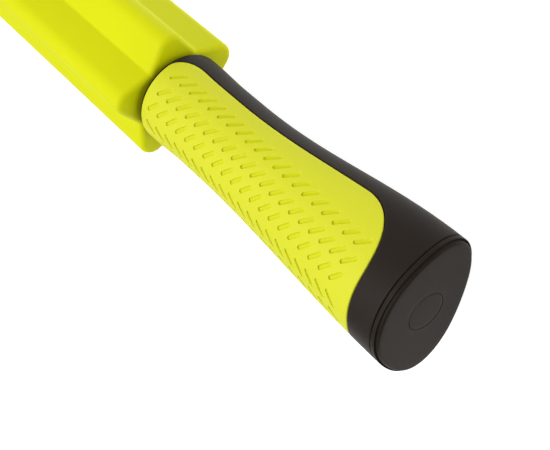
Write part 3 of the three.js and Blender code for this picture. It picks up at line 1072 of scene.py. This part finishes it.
# %% The end cap
CAP_STEPS = 160
cap_plate = core_start - seat
cap_edge_round = 1.7
cap_groove = [(0.0, 1.45), (0.04, 1.28), (0.15, 1.2), (0.28, 1.3), (0.45, 1.65), (0.62, 1.3), (0.75, 1.0)]
back_round = 0.3
skirt_inset = mouth_wall + seat
skirt_inside = skirt_inset + 2.0
skirt_end = cap_plate + 8.0
skirt_chamfer = 0.3
plug_low, plug_high = measured("cap_plug_right")
plug_radius = plug_high.y
hole_radius = plug_radius + 0.13
hole_edge = 0.08
recess_depth = half_length - plate_low.x + seat
boss_radius = 10.0
boss_end = recess_depth + 2.2


def end_cap():
    def oval(depth, inset):
        return section_loop(depth, inset, CAP_STEPS)

    def disc(depth, radius):
        return round_loop(depth, radius, CAP_STEPS)

    rim = [oval(cap_plate - down, inset) for inset, down in reversed(quarter_round(back_round, 4))]
    edge = [oval(down, inset) for inset, down in cap_groove]
    last_inset, last_down = cap_groove[-1]
    for turn in np.linspace(0, math.pi / 2, 9)[1:]:
        inset = cap_edge_round - (cap_edge_round - last_inset) * math.cos(turn)
        edge.append(oval(last_down * (1 - math.sin(turn)), inset))
    outer = oval(0.0, cap_edge_round)
    inner = disc(0.0, hole_radius + hole_edge)
    face = [outer + (inner - outer) * k / 5 for k in range(1, 6)]
    recess = [disc(hole_edge, hole_radius), disc(recess_depth, hole_radius), disc(recess_depth, screw_bore)]
    boss = [disc(boss_end, screw_bore), disc(boss_end, boss_radius), disc(cap_plate, boss_radius)]
    skirt = [oval(cap_plate, skirt_inside), oval(skirt_end, skirt_inside)]
    skirt += [oval(skirt_end, skirt_inset + skirt_chamfer), oval(skirt_end - skirt_chamfer, skirt_inset)]
    skirt += [oval(cap_plate, skirt_inset)]
    return join_loops(rim + edge + face + recess + boss + skirt, ring=True)


cap_mesh = mesh_from("end_cap", *end_cap())


# %% The plug, very slightly domed
def cap_plug():
    edge = 0.12
    dome = 0.05
    loops = [circle(plug_low.x, 0.0), circle(plug_low.x, plug_radius - edge)]
    loops += [circle(plug_low.x + edge, plug_radius)]
    for turn in np.linspace(math.pi / 2, 0, 5):
        radius = plug_radius - edge * (1 - math.sin(turn))
        loops.append(circle(plug_high.x - dome - edge * (1 - math.cos(turn)), radius))
    for share in (0.8, 0.6, 0.4, 0.2, 0.0):
        loops.append(circle(plug_high.x - dome * share**2, (plug_radius - edge) * share))
    return join_loops(loops)


plug_mesh = mesh_from("cap_plug", *cap_plug())
for side in ("right", "left"):
    stand_for("end_cap_" + side, cap_mesh, cap_plastic, side == "left")
    stand_for("cap_plug_" + side, plug_mesh, cap_plastic, side == "left")

# %% [markdown]
# ## The stage
#
# A product like this is shown on a plain white sweep. A sheet that is lit white would throw a lot of
# light up under the bar, so the floor here is a mid grey one that glows: it looks white and leaves the
# underside in shade. One wide soft lamp hangs above, and the world is brightest overhead and a little
# behind the bar, and fades towards the ground, so each side of the grip has its own tone. The view
# transform is the plain one, because the filmic one greys a saturated lime.

# %% The floor
def make_floor():
    half_side = 3.0
    glow = 0.95
    corners = [(-1, -1), (1, -1), (1, 1), (-1, 1)]
    mesh = bpy.data.meshes.new("floor")
    mesh.from_pydata([(x * half_side, y * half_side, 0.0) for x, y in corners], [], [(0, 1, 2, 3)])
    material = bpy.data.materials.new("pale_floor")
    material.use_nodes = True
    tree = material.node_tree
    shader = tree.nodes["Principled BSDF"]
    mottle = add_node(tree, "ShaderNodeTexNoise", Scale=3.0, Detail=2.0)
    tint = mixed_colour(tree, mottle.outputs["Fac"], (0.32, 0.32, 0.32), (0.34, 0.34, 0.34))
    tree.links.new(tint, shader.inputs["Base Color"])
    shader.inputs["Roughness"].default_value = 0.9
    shader.inputs["Specular IOR Level"].default_value = 0.1
    shader.inputs["Emission Color"].default_value = (1.0, 1.0, 1.0, 1)
    shader.inputs["Emission Strength"].default_value = glow
    mesh.materials.append(material)
    floor = bpy.data.objects.new("floor", mesh)
    bpy.context.scene.collection.objects.link(floor)


make_floor()
print("floor: laid")


# %% The overhead lamp
def overhead_lamp():
    place = Vector((0.0, -0.05, 1.3))
    target = Vector((0.0, 0.0, 0.02))
    data = bpy.data.lights.new("overhead", "AREA")
    data.shape = "SQUARE"
    data.size = 1.1
    data.energy = 12.0
    lamp = bpy.data.objects.new("overhead", data)
    lamp.location = place
    lamp.rotation_mode = "QUATERNION"
    lamp.rotation_quaternion = (target - place).to_track_quat("-Z", "Y")
    bpy.context.scene.collection.objects.link(lamp)
    return lamp


print("lamp:", overhead_lamp().name)


# %% The world, brightest overhead
def studio_world():
    brightest = (-0.30, 0.05, 0.95)
    world = bpy.data.worlds.new("studio")
    world.use_nodes = True
    sky = world.node_tree
    direction = add_node(sky, "ShaderNodeTexCoord").outputs["Generated"]
    settings = {"operation": "DOT_PRODUCT"}
    facing = add_node(sky, "ShaderNodeVectorMath", settings, _0=direction, _1=brightest).outputs["Value"]
    strength = add_node(sky, "ShaderNodeMapRange", {"interpolation_type": "SMOOTHSTEP"}, Value=facing)
    for socket, value in {"From Min": -0.1, "From Max": 0.8, "To Min": 0.05, "To Max": 0.68}.items():
        strength.inputs[socket].default_value = value
    sky.nodes["Background"].inputs["Color"].default_value = (1.0, 1.0, 1.0, 1)
    sky.links.new(strength.outputs["Result"], sky.nodes["Background"].inputs["Strength"])
    return world


bpy.context.scene.world = studio_world()
bpy.context.scene.view_settings.view_transform = "Standard"
print("world:", bpy.context.scene.world.name)

# %% [markdown]
# ## The camera
#
# The bar is seen from close by, over its right end, with the camera rolled a long way, so the bar runs
# from corner to corner of the picture. The camera is placed by its bearing and height angle about a
# point on the grip, then rolled about its own line of sight.

# %% Place and roll the camera
def place_camera():
    target = Vector((172.04, -4.01, 33.20)) * MM
    distance = 410.67 * MM
    bearing = math.radians(45.0)
    height = math.radians(37.4)
    roll = math.radians(106.52)
    level_reach = math.cos(height)
    back = Vector((math.cos(bearing) * level_reach, math.sin(bearing) * level_reach, math.sin(height)))
    forward = -back
    level = forward.cross(Vector((0, 0, 1))).normalized()
    down = forward.cross(level)
    right = math.cos(roll) * level + math.sin(roll) * down
    image_down = -math.sin(roll) * level + math.cos(roll) * down
    turn = Matrix((right, -image_down, back)).transposed()
    data = bpy.data.cameras.new("camera")
    data.sensor_width = 36.0
    data.lens = 84.91
    data.clip_start = 0.02
    camera = bpy.data.objects.new("camera", data)
    camera.matrix_world = Matrix.Translation(target + back * distance) @ turn.to_4x4()
    bpy.context.scene.collection.objects.link(camera)
    bpy.context.scene.camera = camera
    print(f"camera: {distance / MM:.0f} mm from its target")


place_camera()
